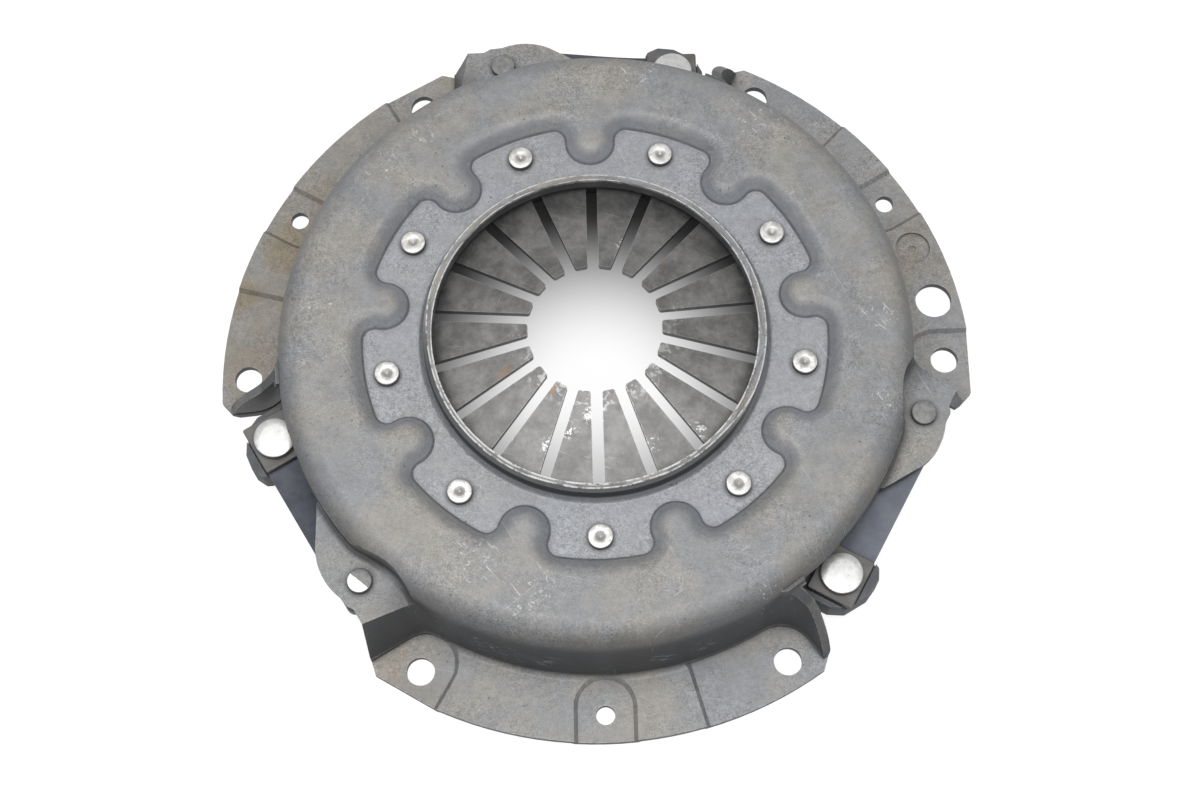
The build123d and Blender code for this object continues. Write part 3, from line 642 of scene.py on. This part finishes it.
for start, kind in rivetKinds.items():
    size = {key: value * mm for key, value in kind.items()}
    for node in nodesNamed(start):
        low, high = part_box(node)
        centre = centreOf(node)
        bm = turned(rivetProfile(size, low.z, high.z), rivetForm["around"], (centre.x, centre.y))
        newPiece(node + "Set", bm, slotOf[node], bodyOf[node], [node], rivetForm["sharpAngle"])
print("wires and rivets made")


# plates and strap leaves, drawn in the frame of a strap: u along it, v outwards
strapFrames = {}
for number in (1, 2, 3):
    lug, ear = centreOf(f"lug_rivet_{number}"), centreOf(f"ear_rivet_{number}")
    along = ear - lug
    along.z = 0
    strapFrames[number] = dict(middle=(lug + ear) / 2, along=along.normalized(), span=along.length)


def fromStrap(number, u, v, height):
    place = strapFrames[number]
    out = Vector((place["along"].y, -place["along"].x, 0))
    point = place["middle"] + place["along"] * u + out * v
    return Vector((point.x, point.y, height))


clampPlate = dict(halfLength=8.5 * mm, halfWidth=7.8 * mm, corner=0.8 * mm, cornerSteps=5, softEdge=0.3)


def plateOutline():
    corner, steps = clampPlate["corner"], clampPlate["cornerSteps"]
    u, v = clampPlate["halfLength"] - corner, clampPlate["halfWidth"] - corner
    points = []
    for signU, signV, first in ((1, 1, 0), (-1, 1, 90), (-1, -1, 180), (1, -1, 270)):
        points += arc((signU * u, signV * v), corner, first, first + 90, steps)
    return points


for node in nodesNamed("clamp_plate"):
    number = int(node[-1])
    low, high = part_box(node)
    half = strapFrames[number]["span"] / 2
    bm = bmesh.new()
    ring = [bm.verts.new(fromStrap(number, -half + u, v, low.z)) for u, v in plateOutline()]
    base = bm.faces.new(ring)
    raised = bmesh.ops.extrude_face_region(bm, geom=[base])
    lifted = [part for part in raised["geom"] if isinstance(part, bmesh.types.BMVert)]
    bmesh.ops.translate(bm, verts=lifted, vec=(0, 0, high.z - low.z))
    bmesh.ops.recalc_face_normals(bm, faces=bm.faces)
    softenEdges(newPiece(node + "Shim", bm, slotOf[node], bodyOf[node], [node]), clampPlate["softEdge"])

leaf = dict(overhang=7.6 * mm, halfWidth=7.5 * mm, corner=3.0 * mm, thick=0.8 * mm, columns=64,
            lugFlat=9.5 * mm, earFlat=7.0 * mm, easedShare=0.55, evenShare=0.45, sharpAngle=50, softEdge=0.12)


def leafHeight(u, half, low, high):
    # the height between the two flat ends, about half eased and half even
    share = (u + half - leaf["lugFlat"]) / (2 * half - leaf["lugFlat"] - leaf["earFlat"])
    share = min(1.0, max(0.0, share))
    eased = share * share * (3 - 2 * share)
    return low + (high - low) * (leaf["easedShare"] * eased + leaf["evenShare"] * share)


for node in nodesNamed("drive_strap_leaf"):
    number = int(node[-1])
    low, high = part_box(node)
    half = strapFrames[number]["span"] / 2
    reach = half + leaf["overhang"]
    bm = bmesh.new()
    rows = []
    for column in range(leaf["columns"] + 1):
        u = -reach + 2 * reach * (0.5 - 0.5 * math.cos(math.pi * column / leaf["columns"]))
        fromEnd = max(0.0, leaf["corner"] - (reach - abs(u)))
        side = leaf["halfWidth"] - (leaf["corner"] - math.sqrt(max(0.0, leaf["corner"] ** 2 - fromEnd ** 2)))
        bottom = leafHeight(u, half, low.z, high.z - leaf["thick"])
        rows.append([bm.verts.new(fromStrap(number, u, v, bottom + lift))
                     for v, lift in ((-side, 0), (side, 0), (side, leaf["thick"]), (-side, leaf["thick"]))])
    for first, second in zip(rows, rows[1:]):
        for i in range(4):
            bm.faces.new((first[i], first[(i + 1) % 4], second[(i + 1) % 4], second[i]))
    bm.faces.new(rows[0])
    bm.faces.new(rows[-1][::-1])
    bmesh.ops.recalc_face_normals(bm, faces=bm.faces)
    piece = newPiece(node + "Strip", bm, slotOf[node], None, [node], leaf["sharpAngle"])
    softenEdges(piece, leaf["softEdge"])
    start = fromStrap(number, -half + leaf["lugFlat"], 0, low.z)
    end = fromStrap(number, half - leaf["earFlat"], 0, low.z)
    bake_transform(piece)
print("straps made")


# floor, light and camera; a painted pool of light glows on the floor inside the part's hole
stageLook = dict(
    size=6.0, floorGap=0.0002, rough=0.9, bounce=0.30, seen=0.9, seenInside=0.30, seenFrom=(0.070, 0.085),
    outside=0.72, outsideFrom=(0.075, 0.10), poolCentre=(0.0, -0.008, 0.0), poolFade=(0.012, 0.068),
    pool=0.78, nearSide=0.25, nearFade=(-0.034, -0.006), glow=1.2, sky=0.34, horizon=0.05)


def floorFinish():
    # lit like paper, with a share of white that only the camera and mirrors see; the paper the camera sees
    # under the part is darker, as painted shade
    f = Finish("floorWhite", 0.0, 0.0)
    seen, mirrored = f.ray("Camera"), f.ray("Glossy") + f.ray("Transmission")
    paper = f.mix(f.step(radiusOf(f), *stageLook["seenFrom"]),
                  (stageLook["seenInside"],) * 3, (stageLook["seen"],) * 3)
    f.wear(Base_Color=f.mix(seen, (stageLook["bounce"],) * 3, paper), Roughness=stageLook["rough"])
    # painted pool of light in the hole, dimmer towards the near side
    away = f.vector("DISTANCE", f.place, stageLook["poolCentre"], "Value")
    pool = (1 - f.step(away, *stageLook["poolFade"])) * stageLook["pool"]
    pool = pool * (1 - stageLook["nearSide"] * (1 - f.step(f.axis("Y"), *stageLook["nearFade"])))
    outside = f.step(radiusOf(f), *stageLook["outsideFrom"]) * stageLook["outside"]
    white = f.step(seen + mirrored, 0.0, 1.0) * (pool + outside)
    glow = f.node("ShaderNodeEmission", None, {"Strength": stageLook["glow"]})
    both = f.node("ShaderNodeMixShader", None, {0: white, 1: Wire(f, f.shader.outputs[0]), 2: glow})
    f.feed(f.tree.nodes["Material Output"].inputs["Surface"], both)
    return f.material


bm = bmesh.new()
bmesh.ops.create_grid(bm, x_segments=1, y_segments=1, size=stageLook["size"] / 2)
floorMesh = bpy.data.meshes.new("floor")
bm.to_mesh(floorMesh)
bm.free()
floor = bpy.data.objects.new("floor", floorMesh)
floor.location.z = cadBox[0].z - stageLook["floorGap"]
floorMesh.materials.append(floorFinish())
bpy.context.scene.collection.objects.link(floor)

# the sky is dark at the horizon, and plain white to the camera and to mirrors
world = bpy.data.worlds.new("studio")
bpy.context.scene.world = world
world.use_nodes = True
sky = Nodes(world.node_tree)
skyHeight = sky.node("ShaderNodeSeparateXYZ", None, {0: sky.node("ShaderNodeTexCoord", out="Generated")}, "Z")
fade = sky.node("ShaderNodeMapRange", None, {
    "Value": skyHeight, "To Min": stageLook["horizon"], "To Max": stageLook["sky"]})
shown = sky.node("ShaderNodeMath", dict(operation="ADD", use_clamp=True),
                 {0: sky.ray("Camera"), 1: sky.ray("Glossy")})
background = sky.tree.nodes["Background"]
sky.feed(background.inputs["Strength"], sky.node("ShaderNodeMix", None, {0: shown, 2: fade, 3: 1.0}))
sky.feed(background.inputs["Color"], (1, 1, 1))

lamps = {
    "softboxTop": dict(place=(-0.05, -0.12, 1.15), aim=(0, -0.02, 0), size=(1.2, 0.85), power=13.5),
    "softboxBack": dict(place=(0.1, 1.1, 0.7), aim=(0, 0, 0.02), size=(1.2, 0.5), power=0.6),
}
for name, lamp in lamps.items():
    light = bpy.data.lights.new(name, "AREA")
    light.shape, light.size, light.size_y, light.energy = "RECTANGLE", *lamp["size"], lamp["power"]
    holder = bpy.data.objects.new(name, light)
    bpy.context.scene.collection.objects.link(holder)
    holder.location = lamp["place"]
    holder.rotation_euler = (Vector(lamp["aim"]) - Vector(lamp["place"])).to_track_quat("-Z", "Y").to_euler()

shot = dict(place=(0.00207, -0.23751, 0.61405), right=(0.99960, -0.02592, -0.01144),
            up=(0.02828, 0.93727, 0.34749), lens=58.75, sensor=36.0, clip=(0.01, 20))
camera = bpy.data.objects.new("camera", bpy.data.cameras.new("camera"))
camera.data.lens, camera.data.sensor_width = shot["lens"], shot["sensor"]
camera.data.clip_start, camera.data.clip_end = shot["clip"]
right, up = Vector(shot["right"]).normalized(), Vector(shot["up"]).normalized()
back = right.cross(up).normalized()
turn = Matrix((right, back.cross(right), back)).transposed().to_4x4()
camera.matrix_world = Matrix.Translation(shot["place"]) @ turn
bpy.context.scene.collection.objects.link(camera)
bpy.context.scene.camera = camera
bpy.context.scene.view_settings.view_transform = "Standard"
print("stage, lamps and camera made")
